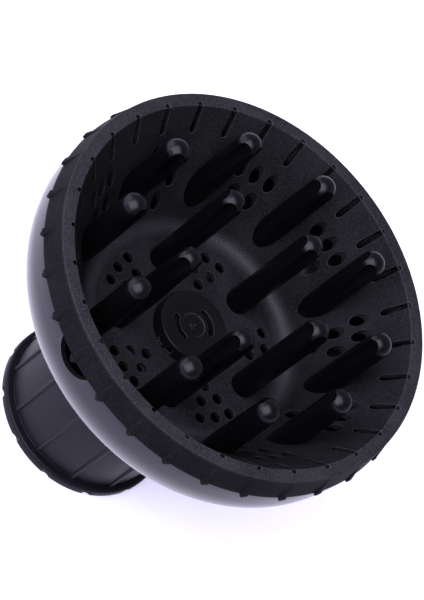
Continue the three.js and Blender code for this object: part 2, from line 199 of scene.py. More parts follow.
def moved(part, x, y):
    """A skin shifted level."""
    vertices, faces = part
    return [(v[0] + x, v[1] + y, v[2]) for v in vertices], faces


def stadium(first, first_radius, second, second_radius, steps):
    """The plan outline round two circles, as (x, y) points."""
    (x0, y0), (x1, y1) = first, second
    heading = math.atan2(y1 - y0, x1 - x0)
    lean = math.acos((first_radius - second_radius) / math.hypot(x1 - x0, y1 - y0))
    points = []
    for cx, cy, radius, start, end in (
        (x1, y1, second_radius, -lean, lean),
        (x0, y0, first_radius, lean, 2 * math.pi - lean),
    ):
        for i in range(steps + 1):
            angle = heading + start + (end - start) * i / steps
            points.append((cx + radius * math.cos(angle), cy + radius * math.sin(angle)))
    return points


def straight(points, low, high):
    """The skin of a plan outline, given as points, raised straight from low to high."""
    return loft([[(x, y, z) for x, y in points] for z in (low, high)])


def upright(outline, low, high, edge=0.0):
    """The skin of a plan outline raised from low to high, with rounded edges.

    outline(grow) gives the outline's points, grown outwards by that much.
    """
    steps = 3
    rings = []
    for i in range(steps + 1):
        angle = math.pi / 2 * i / steps
        inset, rise = edge * (1 - math.sin(angle)), edge * (1 - math.cos(angle))
        rings.append([(x, y, low + rise) for x, y in outline(-inset)])
    for i in range(steps + 1):
        angle = math.pi / 2 * (1 - i / steps)
        inset, rise = edge * (1 - math.sin(angle)), edge * (1 - math.cos(angle))
        rings.append([(x, y, high - rise) for x, y in outline(-inset)])
    return loft(rings)


def post(centre, radius, low, high, edge=0.0, steps=12):
    """The skin of an upright round post."""
    def outline(grow):
        circle = [polar(radius + grow, 180 * i / steps) for i in range(2 * steps)]
        return [(centre[0] + x, centre[1] + y) for x, y, _ in circle]
    return upright(outline, low, high, edge)


def arc_outline(ring, half, start, end, steps=16):
    """The plan outline of a bar bent round the axis, with round ends."""
    bearings = [start + (end - start) * i / steps for i in range(steps + 1)]
    cap_steps = 8

    def round_end(angle, side, width):
        centre = polar(ring, angle)
        arms = [polar(width, angle + side + 180 * i / cap_steps) for i in range(1, cap_steps)]
        return [(centre[0] + arm[0], centre[1] + arm[1]) for arm in arms]

    def outline(grow):
        width = half + grow
        outside = [polar(ring + width, bearing)[:2] for bearing in bearings]
        inside = [polar(ring - width, bearing)[:2] for bearing in reversed(bearings)]
        return outside + round_end(end, 0, width) + inside + round_end(start, 180, width)
    return outline


def sector_outline(inner, outer, start, end, steps=6):
    """The plan outline of a block between two radii and two angles."""
    def side(radius):
        return [polar(radius, start + (end - start) * i / steps)[:2] for i in range(steps + 1)]

    def outline(grow):
        return side(outer + grow) + side(inner - grow)[::-1]
    return outline


def bake(piece):
    """Makes the result of a piece's modifiers its own mesh."""
    view = bpy.context.evaluated_depsgraph_get()
    data = bpy.data.meshes.new_from_object(piece.evaluated_get(view))
    old = piece.data
    piece.modifiers.clear()
    piece.data = data
    bpy.data.meshes.remove(old)
    data.name = piece.name


def combine(piece, parts, operation="DIFFERENCE"):
    """Cuts the closed skins out of a piece, or joins them to it."""
    other = piece_from("tool", parts)
    modifier = piece.modifiers.new("combine", "BOOLEAN")
    modifier.operation = operation
    modifier.solver = "EXACT"
    modifier.object = other
    bake(piece)
    bpy.data.objects.remove(other)


def finished(piece, body, slot, material, *nodes, angle=28):
    """Smooth shading up to an angle, and the piece's place in the frame."""
    piece.data.materials.clear()
    piece.data.materials.append(material)
    piece.data.shade_smooth()
    piece.data.set_sharp_from_angle(angle=math.radians(angle))
    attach(piece, body)
    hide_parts(*nodes)
    return piece


# ---- Materials ----

COOL = (0.84, 0.81, 1, 1)  # the faint violet of the plastics' highlights
# the colour that the grille's painted shade darkens towards
BLACK = (0, 0, 0)
EDGE = 0.35  # the radius over which sharp edges are softened and given a painted highlight


class Nodes:
    """A short way to write a material's node tree."""

    def __init__(self, material):
        """Takes a name for a new material, or a material to add to."""
        self.material = bpy.data.materials.new(material) if isinstance(material, str) else material
        self.material.use_nodes = True
        self.tree = self.material.node_tree
        self.shader = self.tree.nodes["Principled BSDF"]
        self.place = self.add("ShaderNodeTexCoord").outputs["Object"]

    def add(self, kind, **values):
        node = self.tree.nodes.new(kind)
        for key, value in values.items():
            setattr(node, key, value)
        return node

    def link(self, out, socket):
        self.tree.links.new(out, socket)

    def noise(self, scale, detail=2.0, roughness=0.5):
        """A noise value over the object. The scale is in features to the metre."""
        node = self.add("ShaderNodeTexNoise")
        node.inputs["Scale"].default_value = scale
        node.inputs["Detail"].default_value = detail
        node.inputs["Roughness"].default_value = roughness
        self.link(self.place, node.inputs["Vector"])
        return node.outputs["Fac"]

    def spread(self, value, low, high, out_low, out_high):
        """A value moved from one range to another."""
        node = self.add("ShaderNodeMapRange")
        limits = (("From Min", low), ("From Max", high), ("To Min", out_low), ("To Max", out_high))
        for key, number in limits:
            node.inputs[key].default_value = number
        self.link(value, node.inputs["Value"])
        return node.outputs["Result"]

    def blend(self, factor, first, second):
        """A colour between two, each a colour or another node's output."""
        node = self.add("ShaderNodeMix", data_type="RGBA")
        for socket, colour in (("A", first), ("B", second)):
            target = [s for s in node.inputs if s.name == socket and s.type == "RGBA"][0]
            if isinstance(colour, bpy.types.NodeSocket):
                self.link(colour, target)
            else:
                target.default_value = (*colour, 1)
        self.link(factor, node.inputs["Factor"])
        return [s for s in node.outputs if s.type == "RGBA"][0]

    def bump(self, height, distance, below=None):
        """A surface normal roughened by a height, over another normal if one is given."""
        node = self.add("ShaderNodeBump")
        node.inputs["Distance"].default_value = distance
        self.link(height, node.inputs["Height"])
        if below is not None:
            self.link(below, node.inputs["Normal"])
        return node.outputs["Normal"]

    def soften(self, radius):
        """The surface normal with its edges rounded over a small radius."""
        node = self.add("ShaderNodeBevel", samples=6)
        node.inputs["Radius"].default_value = radius * MM
        return node.outputs["Normal"]

    def edges(self):
        """1 along sharp edges, where the softened normal leans off the plain one, else 0. It places the
        painted edge highlight.
        """
        lean = self.add("ShaderNodeVectorMath", operation="DOT_PRODUCT")
        self.link(self.soften(EDGE), lean.inputs[0])
        self.link(self.add("ShaderNodeNewGeometry").outputs["Normal"], lean.inputs[1])
        return self.spread(lean.outputs["Value"], 0.98, 0.8, 0, 1)

    def openness(self, reach):
        """1 on open surfaces, towards 0 deep inside holes and slots; it places painted shade there."""
        node = self.add("ShaderNodeAmbientOcclusion", samples=6, only_local=True)
        node.inputs["Distance"].default_value = reach * MM
        return node.outputs["AO"]

    def zones(self, start, *steps):
        """A value by distance from the axis: each (near, far, change) alters it between two radii."""
        flat = self.add("ShaderNodeVectorMath", operation="MULTIPLY")
        flat.inputs[1].default_value = (1, 1, 0)
        self.link(self.place, flat.inputs[0])
        length = self.add("ShaderNodeVectorMath", operation="LENGTH")
        self.link(flat.outputs["Vector"], length.inputs[0])
        radius = length.outputs["Value"]
        total = self.spread(radius, 0, MM, start, start)  # the same everywhere
        for near, far, change in steps:
            add = self.add("ShaderNodeMath", operation="ADD")
            self.link(total, add.inputs[0])
            self.link(self.spread(radius, near * MM, far * MM, 0, change), add.inputs[1])
            total = add.outputs["Value"]
        return total

    def plain(self, **values):
        """Sets the shader's even values."""
        for key, value in values.items():
            self.shader.inputs[key.replace("_", " ")].default_value = value

    def colour(self, shade):
        self.link(shade, self.shader.inputs["Base Color"])

    def roughness(self, pattern, middle, variation):
        """Roughness that varies about a middle value with a noise pattern."""
        varied = self.spread(pattern, 0.3, 0.7, middle - variation, middle + variation)
        self.link(varied, self.shader.inputs["Roughness"])

    def relief(self, normal):
        self.link(normal, self.shader.inputs["Normal"])


def moulded(name, dark, light, roughness, grain, depth, specular=0.5, speckle=0.3, painted_edge_light=0.0):
    """Moulded plastic: a grain of fine pale bumps, a slow change of shade, and a painted highlight along
    sharp edges.
    """
    nodes = Nodes(name)
    nodes.plain(Specular_IOR_Level=specular, Specular_Tint=COOL)
    slow = nodes.noise(60, detail=4)
    fine = nodes.noise(grain, detail=3, roughness=0.6)
    speck = tuple(2 * c for c in light)
    shade = nodes.blend(nodes.spread(slow, 0.35, 0.65, 0, 1), dark, light)
    shade = nodes.blend(nodes.spread(fine, 0.45, 0.75, 0, speckle), shade, speck)
    if painted_edge_light:
        # painted highlight: sharp edges made lighter, standing in for light caught on them
        painted_edge_highlight = tuple(c * (1 + painted_edge_light) + 0.01 for c in light)
        shade = nodes.blend(nodes.edges(), shade, painted_edge_highlight)
    nodes.colour(shade)
    nodes.roughness(fine, roughness, 0.06)
    nodes.relief(nodes.bump(fine, depth * MM, below=nodes.soften(EDGE)))
    return nodes.material


def grille_plastic():
    """Palest on the rim's face and darkest on the band and in the holes, all painted light and shade, and
    glossy in the bowl's fillet.
    """
    material = moulded("grille_plastic", (0.012, 0.0113, 0.015), (0.020, 0.019, 0.025), 0.5, 1300, 0.14,
                       speckle=0.7, painted_edge_light=3)
    nodes = Nodes(material)
    rim_inner = RIM_RADIUS - RIM_WIDTH
    # painted light and shade by radius: the wall darker, the rim's face paler, the band darkest
    painted_light_tone = nodes.zones(
        0.72,
        (42, 50, -0.22),
        (rim_inner - 0.4, rim_inner, 0.5),
        (RIM_RADIUS - 0.1, RIM_RADIUS + 0.2, -0.72),
    )
    moulded_shade = nodes.shader.inputs["Base Color"].links[0].from_socket
    shade = nodes.blend(painted_light_tone, BLACK, moulded_shade)
    # painted shade: the colour darkens towards black deep inside holes and slots
    painted_cavity_shade = nodes.spread(nodes.openness(3), 0.3, 0.8, 0.08, 1)
    nodes.colour(nodes.blend(painted_cavity_shade, BLACK, shade))
    gloss = nodes.zones(0.012, (40, 43, 0.42), (45.5, 49, -0.42))
    nodes.link(gloss, nodes.shader.inputs["Specular IOR Level"])
    return material


def polished(name, dark, light, roughness, specular):
    """Polished plastic: nearly smooth, with a faint waviness, haze and fine scuffs."""
    nodes = Nodes(name)
    nodes.plain(Specular_IOR_Level=specular, Specular_Tint=COOL)
    slow = nodes.noise(35, detail=3)
    haze = nodes.noise(900, detail=4, roughness=0.7)
    nodes.colour(nodes.blend(nodes.spread(slow, 0.3, 0.7, 0, 1), dark, light))
    nodes.roughness(haze, roughness, 0.05)
    nodes.relief(nodes.bump(slow, 0.01 * MM))
    return nodes.material


def soft_touch(name, dark, light, roughness):
    """A rubbery coating over plastic: matt with a soft sheen, and a painted highlight along the ridges.
    """
    nodes = Nodes(name)
    nodes.plain(Specular_IOR_Level=0.12, Specular_Tint=COOL, Sheen_Weight=0.02, Sheen_Roughness=0.4)
    slow = nodes.noise(45, detail=4)
    fine = nodes.noise(1800, detail=2)
    shade = nodes.blend(nodes.spread(slow, 0.35, 0.65, 0, 1), dark, light)
    # painted highlight: the ridges and edges made lighter, as if lit
    painted_edge_highlight = tuple(c * 1.6 + 0.005 for c in light)
    nodes.colour(nodes.blend(nodes.edges(), shade, painted_edge_highlight))
    nodes.roughness(slow, roughness, 0.05)
    nodes.relief(nodes.bump(fine, 0.015 * MM))
    return nodes.material


def plated(name, colour, roughness):
    """Zinc-plated steel with a fine brushed unevenness."""
    nodes = Nodes(name)
    nodes.plain(Metallic=1.0)
    fine = nodes.noise(1500, detail=4, roughness=0.7)
    dull = tuple(c * 0.7 for c in colour)
    nodes.colour(nodes.blend(nodes.spread(fine, 0.3, 0.7, 0, 1), dull, colour))
    nodes.roughness(fine, roughness, 0.08)
    nodes.relief(nodes.bump(fine, 0.01 * MM))
    return nodes.material


GRILLE = grille_plastic()
PRONG = polished(
    "prong_plastic", (0.0008, 0.0008, 0.0012), (0.0016, 0.0016, 0.0024), 0.33, specular=0.22
)
# the cap's edges and moulding mark get a strong painted highlight
CAP = moulded("cap_plastic", (0.003, 0.003, 0.004), (0.0052, 0.005, 0.0064), 0.34, 1600, 0.012,
              specular=0.14, painted_edge_light=10)
SHELL = polished("shell_plastic", (0.003, 0.003, 0.0045), (0.0045, 0.0045, 0.0065), 0.18, specular=0.34)
COLLAR = soft_touch("collar_coating", (0.0035, 0.0035, 0.006), (0.006, 0.006, 0.0098), 0.4)
NECK = moulded("neck_plastic", (0.012, 0.012, 0.014), (0.016, 0.016, 0.018), 0.5, 1200, 0.03)
CLAMP = moulded("clamp_plastic", (0.017, 0.017, 0.02), (0.022, 0.022, 0.026), 0.42, 1500, 0.02, painted_edge_light=0.5)
RUBBER = moulded("rubber", (0.010, 0.010, 0.011), (0.014, 0.014, 0.015), 0.75, 1000, 0.03, specular=0.3)
STEEL = plated("plated_steel", (0.55, 0.55, 0.57), 0.32)


# ---- Front grille ----

FILLET_REACH = FLOOR_FILLET * math.tan(WALL_TILT / 2)
FLOOR_CORNER = RIM_RADIUS - RIM_WIDTH - BOWL_SLOPE * BOWL_DEPTH


def bowl_z(radius):
    """Height of the bowl's inside surface and the rim's face at a radius."""
    centre = FLOOR_CORNER - FILLET_REACH
    if radius <= centre:
        return FLOOR_Z
    if radius < centre + FLOOR_FILLET * math.sin(WALL_TILT):
        return FLOOR_Z + FLOOR_FILLET - math.sqrt(FLOOR_FILLET**2 - (radius - centre) ** 2)
    return min(RIM_Z, RIM_Z - (RIM_RADIUS - RIM_WIDTH - radius) / BOWL_SLOPE)


def opening(outline, depth):
    """The skin of an upright hole through the bowl, from just above its surface down."""
    above = 1.5

    def ring(drop):
        return [(x, y, bowl_z(math.hypot(x, y)) - drop) for x, y in outline]
    return loft([ring(-above), ring(depth)])


def round_hole(radius, degrees, depth):
    x, y, _ = polar(radius, degrees)
    circle = [polar(HOLE_RADIUS, 10 * i) for i in range(36)]
    return opening([(x + a, y + b) for a, b, _ in circle], depth)


def air_slot():
    """A radial slot, wider at its lower end, whose upper end bites into the rim's face."""
    low, high, wide, narrow, depth = 69.75, 75.5, 1.45, 1.05, 18
    return opening(stadium((low, 0), wide, (high, 0), narrow, 8), depth)


def hole_triangle(rows, depth):
    """Round holes in rows, each row a radius and the bearings of its holes."""
    return [round_hole(ring, angle, depth) for ring, *angles in rows for angle in angles]


def finger_ramp():
    """A flat-topped wedge on the band, from a point near the rim to its full height at the shell."""
    front, back = RIM_Z - 1.9, RIM_Z - BAND_HEIGHT
    steps = 8
    rings = []
    for i in range(steps + 1):
        share = i / steps
        z = front + (back - front) * share
        base = RIM_RADIUS + BAND_FLARE * (RIM_Z - z) / BAND_HEIGHT
        half, rise = 0.15 + 1.6 * share, 0.05 + 0.75 * share
        soft = min(half * 0.4, 0.25)
        rings.append([
            (base - 1, -half - 0.1, z),
            (base + rise * 0.6, -half, z),
            (base + rise * 0.9, -half + soft * 0.4, z),
            (base + rise, -half + soft, z),
            (base + rise, half - soft, z),
            (base + rise * 0.9, half - soft * 0.4, z),
            (base + rise * 0.6, half, z),
            (base - 1, half + 0.1, z),
        ])
    return loft(rings)


def ramp_nose():
    """The small round end of a ramp, which overhangs the shell's edge."""
    back = RIM_Z - BAND_HEIGHT
    edge = RIM_RADIUS + BAND_FLARE
    length, half_width, tip = 2.2, 1.4, 0.15
    steps, sides = 6, 12
    rings = []
    for i in range(steps + 1):
        angle = math.pi / 2 * i / steps
        z = back + 0.4 - length * math.sin(angle)
        half = max(tip, half_width * math.cos(angle))
        thick = tip + 0.5 * math.cos(angle)
        rings.append([
            (edge + 0.3 + thick * math.sin(a), half * math.cos(a), z)
            for a in (math.tau * k / sides for k in range(sides))
        ])
    return loft(rings)


def front_grille():
    """Bowl floor, sloping wall, rim, grip band and the skirt behind it, with all the air holes."""
    rim_under = RIM_Z - 2.6
    skirt_out, skirt_in = 76.7, 75.2
    under_corner = FLOOR_CORNER + WALL_LEVEL - BOWL_SLOPE * WALL
    low = FLOOR_Z - WALL
    skirt_low = RIM_Z - 17.5
    skirt_meets_wall = RIM_Z - (RIM_RADIUS - RIM_WIDTH + WALL_LEVEL - skirt_in) / BOWL_SLOPE
    cap_hole = 13.3
    profile = rounded([
        (cap_hole, FLOOR_Z, 0.3),
        (FLOOR_CORNER, FLOOR_Z, FLOOR_FILLET),
        (RIM_RADIUS - RIM_WIDTH, RIM_Z, 0.08),
        (RIM_RADIUS, RIM_Z, 0.1),
        (RIM_RADIUS + BAND_FLARE, RIM_Z - BAND_HEIGHT, 0.35),
        (RIM_RADIUS + BAND_FLARE - WALL, RIM_Z - BAND_HEIGHT, 0.3),
        (RIM_RADIUS - WALL, rim_under, 0.3),
        (skirt_out, rim_under, 0.3),
        (skirt_out, skirt_low, 0.3),
        (skirt_in, skirt_low, 0.3),
        (skirt_in, skirt_meets_wall, 0.5),
        (under_corner, low, FLOOR_FILLET + WALL),
        (cap_hole, low, 0.3),
    ], steps=5)
    piece = piece_from("grille_moulding", [turned(divided(profile, 2.5))])
    lug = upright(arc_outline(77.2, 1.0, -7, 7), skirt_low, skirt_low + 2, 0.3)
    combine(piece, repeat([finger_ramp()], SLOTS, SLOT_PHASE), "UNION")
    noses, lugs = repeat([ramp_nose()], SLOTS, SLOT_PHASE), repeat([lug], CATCHES, CATCH_PHASE)
    combine(piece, noses + lugs, "UNION")
    in_wall = hole_triangle([(63.4, -6.2, 0, 6.2), (57.5, -3.9, 3.9), (51.7, 0)], depth=9)
    in_floor = hole_triangle([(36, -11.2, 0, 11.2), (29, -7.8, 7.8), (22.8, 0)], depth=5)
    between_inner_prongs = INNER_PHASE + 180 / INNER_PRONGS
    holes = repeat(in_wall, OUTER_PRONGS) + repeat(in_floor, INNER_PRONGS, between_inner_prongs)
    combine(piece, repeat([air_slot()], SLOTS, SLOT_PHASE))
    combine(piece, holes)
    return finished(piece, "grille", "grille", GRILLE, "front_grille")


# ---- Prongs ----

def soft_min(a, b, blend=0.5):
    """The smaller of two, with a rounded change between them."""
    h = max(0.0, min(1.0, 0.5 + 0.5 * (b - a) / blend))
    return b + (a - b) * h - blend * h * (1 - h)


def fluted(radius, z, bearing, flutes, top):
    """A prong's radius in one direction, after the round-bottomed flutes are taken out."""
    scoop, start, fade = 2.9, 5.55, 0.1
    for flute in flutes:
        off = math.radians((bearing - flute + 180) % 360 - 180)
        away = start + fade * max(0.0, top - z)
        size = scoop if z <= top else math.sqrt(max(0.0, scoop**2 - (z - top) ** 2))
        inside = size**2 - (away * math.sin(off)) ** 2
        if inside > 0 and math.cos(off) > 0:
            radius = soft_min(radius, away * math.cos(off) - math.sqrt(inside))
    return radius


def prong(name, ring, degrees, flutes, node):
    """A round-tipped finger with flutes, standing in the bowl."""
    around, dome_steps, stem_steps = 96, 30, 40
    bearings = [360 * j / around for j in range(around)]
    middle_z = PRONG_TIP_Z - PRONG_RADIUS
    cx, cy, _ = polar(ring, degrees)
    flute_top = PRONG_TIP_Z - 3.5
    sunk = 0.25  # how far the foot reaches into the bowl

    def circle(radius):
        return [(cx + x, cy + y) for x, y, _ in (polar(radius, b + degrees) for b in bearings)]

    def level(base, heights):
        points = []
        for bearing, z in zip(bearings, heights):
            radius = fluted(base, z, bearing, flutes, flute_top)
            x, y, _ = polar(radius, bearing + degrees)
            points.append((cx + x, cy + y, z))
        return points

    feet = [bowl_z(math.hypot(x, y)) - sunk for x, y in circle(PRONG_RADIUS)]
    rings = []
    for i in range(1, dome_steps + 1):
        angle = math.pi / 2 * i / dome_steps
        z = middle_z + PRONG_RADIUS * math.cos(angle)
        rings.append(level(PRONG_RADIUS * math.sin(angle), [z] * around))
    for i in range(1, stem_steps + 1):
        share = (i / stem_steps) ** 1.3
        rings.append(level(PRONG_RADIUS, [middle_z + (foot - middle_z) * share for foot in feet]))
    on_wall = ring > FLOOR_CORNER
    seat = bowl_z(ring) - (4.5 if on_wall else 1.0)
    spigot_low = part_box(node)[0].z / MM
    for radius, z in ((2, seat), (2, spigot_low + 0.4), (1.6, spigot_low)):
        rings.append([(x, y, z) for x, y in circle(radius)])
    piece = piece_from(name, [loft(rings)])
    return finished(piece, "grille", "prong", PRONG, node, angle=50)


def prongs():
    """The outer prongs have two flutes towards the middle, the inner ones four."""
    for which, ring, count, phase, flutes in (
        ("outer", OUTER_RING, OUTER_PRONGS, OUTER_PHASE, (135, 225)),
        ("inner", INNER_RING, INNER_PRONGS, INNER_PHASE, (45, 135, 225, 315)),
    ):
        for i in range(count):
            node = f"{which}_prong_{i + 1}"
            prong(f"fluted_{node}", ring, phase + 360 / count * i, flutes, node)


# ---- Centre cap ----

def centre_cap():
    """A raised disc with a skirt through the floor, two arc slots, side windows and a moulding mark."""
    low, high = (v.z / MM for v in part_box("centre_cap"))
    rim, seat, plug, bore = 14.6, 14.9, 12.9, 11.6
    under = FLOOR_Z - WALL - 0.3
    top_under = high - WALL
    piece = piece_from("vent_cap", [turned(rounded([
        (0, high, 0),
        (rim, high, 0.6),
        (seat, FLOOR_Z + 0.3, 0.2),
        (plug, FLOOR_Z + 0.3, 0.1),
        (plug, under, 0.1),
        (plug + 1, under - 0.5, 0.2),
        (plug, low, 0.2),
        (bore, low, 0.3),
        (bore, top_under, 0.6),
        (0, top_under, 0),
    ]), MEDIUM)])
    arc = upright(arc_outline(7.7, 1.3, -34, 34), top_under - 1, high + 1)
    combine(piece, repeat([arc], 2, 90))
    window_half = 6
    windows = [
        upright(
            sector_outline(bore - 1, seat + 1, middle - window_half, middle + window_half),
            FLOOR_Z + 0.9, high - 2.7,
        )
        for middle in (-9, 9)
    ]
    combine(piece, repeat(windows, 4, 21))
    dish = [(0, high + 1), (5.2, high + 1), (4.9, high - 0.35), (0, high - 0.35)]
    combine(piece, [turned(dish, 96)])
    mark = rounded([
        (0.55, high - 0.8, 0),
        (0.55, high + 0.3, 0.15),
        (1.5, high + 0.3, 0.4),
        (1.7, high - 0.8, 0),
    ])
    combine(piece, [turned(mark, 48)], "UNION")
    return finished(piece, "grille", "cap", CAP, "centre_cap")


# ---- Outer shell ----

def outer_shell():
    """A round-shouldered bowl open at the front, with a flat back that the neck is screwed to."""
    centre_r, centre_z, across, down, end = 54.5, 105, 26.5, 28, 63.4

    def shoulder(shrink, steps):
        return [
            (centre_r + (across - shrink) * math.cos(a), centre_z - (down - shrink) * math.sin(a), 0)
            for a in (math.radians(end * i / steps) for i in range(steps + 1))
        ]

    mouth_out, mouth_in, vent = 81.3, 79.1, 22.5
    back_top = SHELL_BACK_Z + 3
    profile = rounded([
        (mouth_out, SHELL_MOUTH_Z, 0.4),
        *shoulder(0, 32),
        (35.5, SHELL_BACK_Z + 0.3, 0.4),
        (34.9, SHELL_BACK_Z, 0.2),
        (vent, SHELL_BACK_Z, 0.4),
        (vent, back_top, 0.4),
        (35.9, back_top, 1),
        *shoulder(WALL, 24)[::-1],
        (mouth_in, SHELL_MOUTH_Z, 0.4),
    ])
    piece = piece_from("polished_shell", [turned(profile)])
    catch_ring, catch_half = 78.3, 1.1
    ledge = upright(arc_outline(catch_ring, catch_half, -9, 9), 107.3, 109.2, 0.2)
    stop = upright(arc_outline(catch_ring, catch_half, -10.2, -9.4, 3), 105.1, 108, 0.2)
    screw_hole = post(polar(SCREW_RING, 0), 1.5, SHELL_BACK_Z - 1, back_top + 1)
    combine(piece, repeat([ledge], CATCHES, CATCH_PHASE), "UNION")
    combine(piece, repeat([stop], CATCHES, CATCH_PHASE), "UNION")
    combine(piece, repeat([screw_hole], SCREWS, SCREW_PHASE))
    combine(piece, repeat([finger_notch()], 2, 102))
    return finished(piece, "housing", "shell", SHELL, "outer_shell")


def finger_notch():
    """A round bite out of the shell's mouth, its edge eased on the outside."""
    radius, above = 9.8, 3.3
    rings = []
    for reach, grow in ((76, 0), (80.4, 0), (81.0, 0.12), (81.4, 0.5), (86, 0.5)):
        rings.append([
            (reach, (radius + grow) * math.cos(a), SHELL_MOUTH_Z + above + (radius + grow) * math.sin(a))
            for a in (math.tau * i / 64 for i in range(64))
        ])
    return loft(rings)


# ---- Neck, screws and washer ----

def neck_tube():
    """The tube inside the collar, with a shelf that carries the jaws and bosses for the screws."""
    bore, outer, shelf_bore, shelf = 29.8, 31.4, 26.6, 32.1
    piece = piece_from("clamp_neck", [turned(rounded([
        (shelf_bore, NECK_LOW_Z, 0.4),
        (shelf, NECK_LOW_Z, 0.3),
        (shelf, SHELF_Z, 0.2),
        (outer, SHELF_Z, 0.1),
        (outer, NECK_TOP_Z, 0.3),
        (bore, NECK_TOP_Z, 0.3),
        (bore, SHELF_Z, 0.5),
        (shelf_bore, SHELF_Z, 0.4),
    ]), MEDIUM)])
    boss = post(polar(SCREW_RING, 0), 3.3, 50, NECK_TOP_Z, 0.3, 16)
    screw_hole = post(polar(SCREW_RING, 0), 1.5, 54, NECK_TOP_Z + 1)
    pin_hole = post(polar(PIVOT_RING, 0), 1.25, NECK_LOW_Z - 1, SHELF_Z + 1)
    combine(piece, repeat([boss], SCREWS, SCREW_PHASE), "UNION")
    combine(piece, repeat([screw_hole], SCREWS, SCREW_PHASE))
    combine(piece, repeat([pin_hole], JAWS))
    return finished(piece, "housing", "neck", NECK, "neck_tube")


def shell_screws():
    """Pan-head screws with a cross slot."""
    head_low, tip = SHELL_BACK_Z + 3.3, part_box("shell_screw_1")[0].z / MM
    slot_reach, slot_half = 1.2, 0.26
    head, shank = 2.6, 1.25
    screw = turned(rounded([
        (0, head_low + 1.7, 0),
        (1.9, head_low + 1.7, 0.5),
        (head, head_low + 0.5, 0.3),
        (head, head_low, 0.1),
        (shank, head_low, 0),
        (shank, tip + 1, 0.1),
        (0.4, tip, 0.1),
        (0, tip, 0),
    ]), 40)
    for i in range(SCREWS):
        x, y, _ = polar(SCREW_RING, SCREW_PHASE + 360 / SCREWS * i)
        piece = piece_from(f"pan_head_screw_{i + 1}", [moved(screw, x, y)])
        for spin in (0, 90):
            ends = polar(slot_reach, spin)[:2], polar(-slot_reach, spin)[:2]
            bar = stadium(ends[0], slot_half, ends[1], slot_half, 4)
            combine(piece, [moved(straight(bar, head_low + 0.7, head_low + 3), x, y)])
        finished(piece, "housing", "steel", STEEL, f"shell_screw_{i + 1}")


def friction_washer():
    """A soft ring between the neck and the collar."""
    low, high = (v.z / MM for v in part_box("friction_washer"))
    inner, outer = 32, 33.6
    piece = piece_from("collar_washer", [turned(rounded([
        (inner, low, 0.3),
        (outer, low, 0.4),
        (outer, high, 0.4),
        (inner, high, 0.3),
    ]), MEDIUM)])
    return finished(piece, "housing", "rubber", RUBBER, "friction_washer")


# ---- Collar and cam ring ----

def collar_rib():
    """A half-round rib along the sleeve, blunt and round at both ends, that overhangs the groove."""
    low, high, radius = 5.0, COLLAR_TOP_Z - 1.0, 1.05
    blunt = 0.12  # how much of the end's rounding is left out at its tip

    def ring(z, size):
        angles = [math.tau * k / 20 for k in range(20)]
        return [
            (COLLAR_RADIUS - 0.1 + size * math.cos(a), size * math.sin(a), z) for a in angles
        ]

    ends = []
    for share in (0, 0.5, 1):
        rise = radius * (1 - math.cos(math.pi / 2 * share))
        size = radius * math.sin(math.pi / 2 * min(1, share + blunt))
        ends.append((rise, size))
    rear = [ring(low + rise, size) for rise, size in ends]
    front = [ring(high - rise, size) for rise, size in reversed(ends)]
    return loft(rear + front)


def twist_collar():
    """A ribbed sleeve, a groove, and a rear flange with half-moon scoops between the ribs."""
    seat_radius, seat_z = 34.3, 2.8
    groove, groove_low, groove_high = 33.2, 4.4, 6.2
    bore, wide_bore, step_z = 31.8, 32.5, SHELF_Z + 0.3
    piece = piece_from("ribbed_collar", [turned(rounded([
        (seat_radius, 0, 0.2),
        (FLANGE_RADIUS, 0, 1.0),
        (FLANGE_RADIUS, groove_low, 1.3),
        (groove, groove_low, 0.4),
        (groove, groove_high, 0.4),
        (COLLAR_RADIUS, groove_high, 0.65),
        (COLLAR_RADIUS + 0.1, 30, 60),
        (COLLAR_RADIUS - 0.2, COLLAR_TOP_Z, 0.7),
        (bore, COLLAR_TOP_Z, 0.2),
        (bore, step_z, 0),
        (wide_bore, step_z, 0),
        (wide_bore, seat_z, 0),
        (seat_radius, seat_z, 0),
    ]))])
    combine(piece, repeat([collar_rib()], RIBS, RIB_PHASE), "UNION")
    key = upright(arc_outline(34.2, 0.9, -3, 3, 4), 0.6, seat_z + 0.5, 0.15)
    combine(piece, repeat([key], KEYS), "UNION")
    scoop = post((FLANGE_RADIUS + 1.4, 0), 2.6, -1, 3.1, 0.9, 20)
    combine(piece, repeat([scoop], RIBS, RIB_PHASE + 180 / RIBS))
    return finished(piece, "collar", "collar", COLLAR, "twist_collar")


def drive_point(collar_turn):
    """Where a jaw's drive pin lies once the collar has turned, seen from the neck."""
    pivot = Vector(polar(PIVOT_RING, 0))
    arm = Vector(polar(DRIVE_RING, DRIVE_BEARING)) - pivot
    return pivot + turn(collar_turn / JAW_RATIO) @ arm


def cam_groove():
    """The groove for one drive pin: its path, seen from the turning cam ring."""
    half, steps = 1.28, 24
    turns = [COLLAR_TURN * i / steps for i in range(steps + 1)]
    path = [turn(-angle) @ drive_point(angle) for angle in turns]
    outline = []
    for side, order in ((1, range(steps + 1)), (-1, range(steps, -1, -1))):
        for i in order:
            along = (path[min(i + 1, steps)] - path[max(i - 1, 0)]).normalized()
            across = Vector((-along.y, along.x, 0)) * side
            outline.append(path[i] + across * half)
            if i == order[-1]:
                for degrees in (30, 60, 90, 120, 150):
                    angle = math.radians(degrees)
                    out = across * math.cos(angle) + along * side * math.sin(angle)
                    outline.append(path[i] + out * half)
    return straight([(p.x, p.y) for p in outline], CAM_FLANGE_Z, CAM_TOP_Z + 1)


